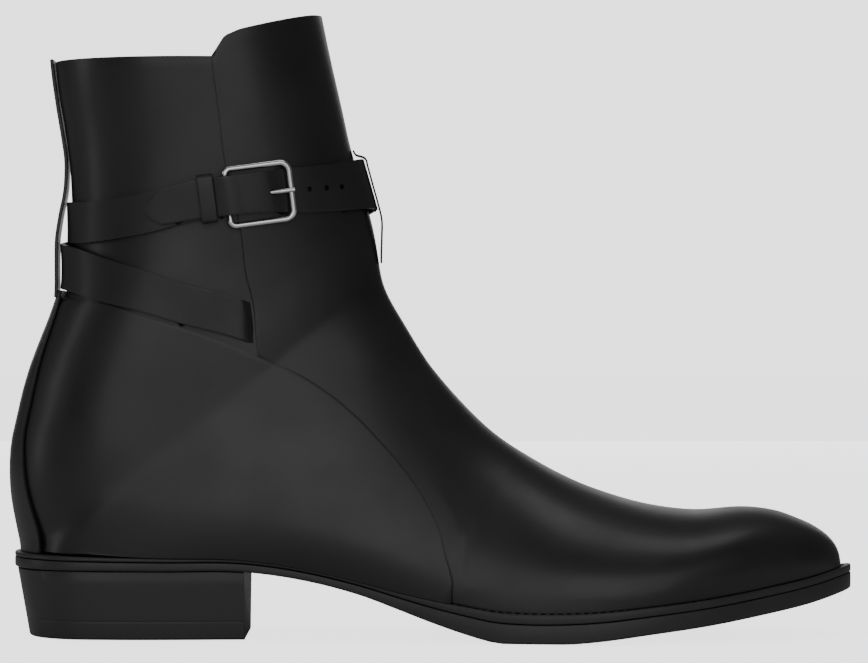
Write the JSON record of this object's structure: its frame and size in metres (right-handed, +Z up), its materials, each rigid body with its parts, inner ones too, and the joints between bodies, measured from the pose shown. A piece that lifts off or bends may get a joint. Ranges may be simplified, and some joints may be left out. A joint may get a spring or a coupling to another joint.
{
  "type": "jodhpur boot",
  "caption": "Right jodhpur ankle boot in smooth black leather: slim pointed last, crossed ankle straps with a wire buckle, welted sole and low stacked heel.",
  "frame": {"origin": "centre of the heel's base, on the floor the boot stands on", "axes": "+X towards the toe, +Y towards the inner side of the foot, +Z up"},
  "size_m": [0.3121, 0.0974, 0.2287],
  "materials": {
    "calf": "smooth polished black calf",
    "strap_leather": "smooth black leather with cut edges",
    "sole_edge": "inked and waxed black leather edge",
    "lining": "matt dark leather lining",
    "steel": "polished silver metal"
  },
  "bodies": {
    "root": {"upper": "calf", "quarter": "calf", "backstay": "calf", "insole": "lining", "welt": "sole_edge", "outsole": "sole_edge", "heel": "sole_edge", "wrap_strap": "strap_leather", "buckle_strap": "strap_leather", "strap_keeper": "strap_leather", "front_loop": "strap_leather", "buckle_frame": "steel", "buckle_prong": "steel"}
  },
  "joints": []
}
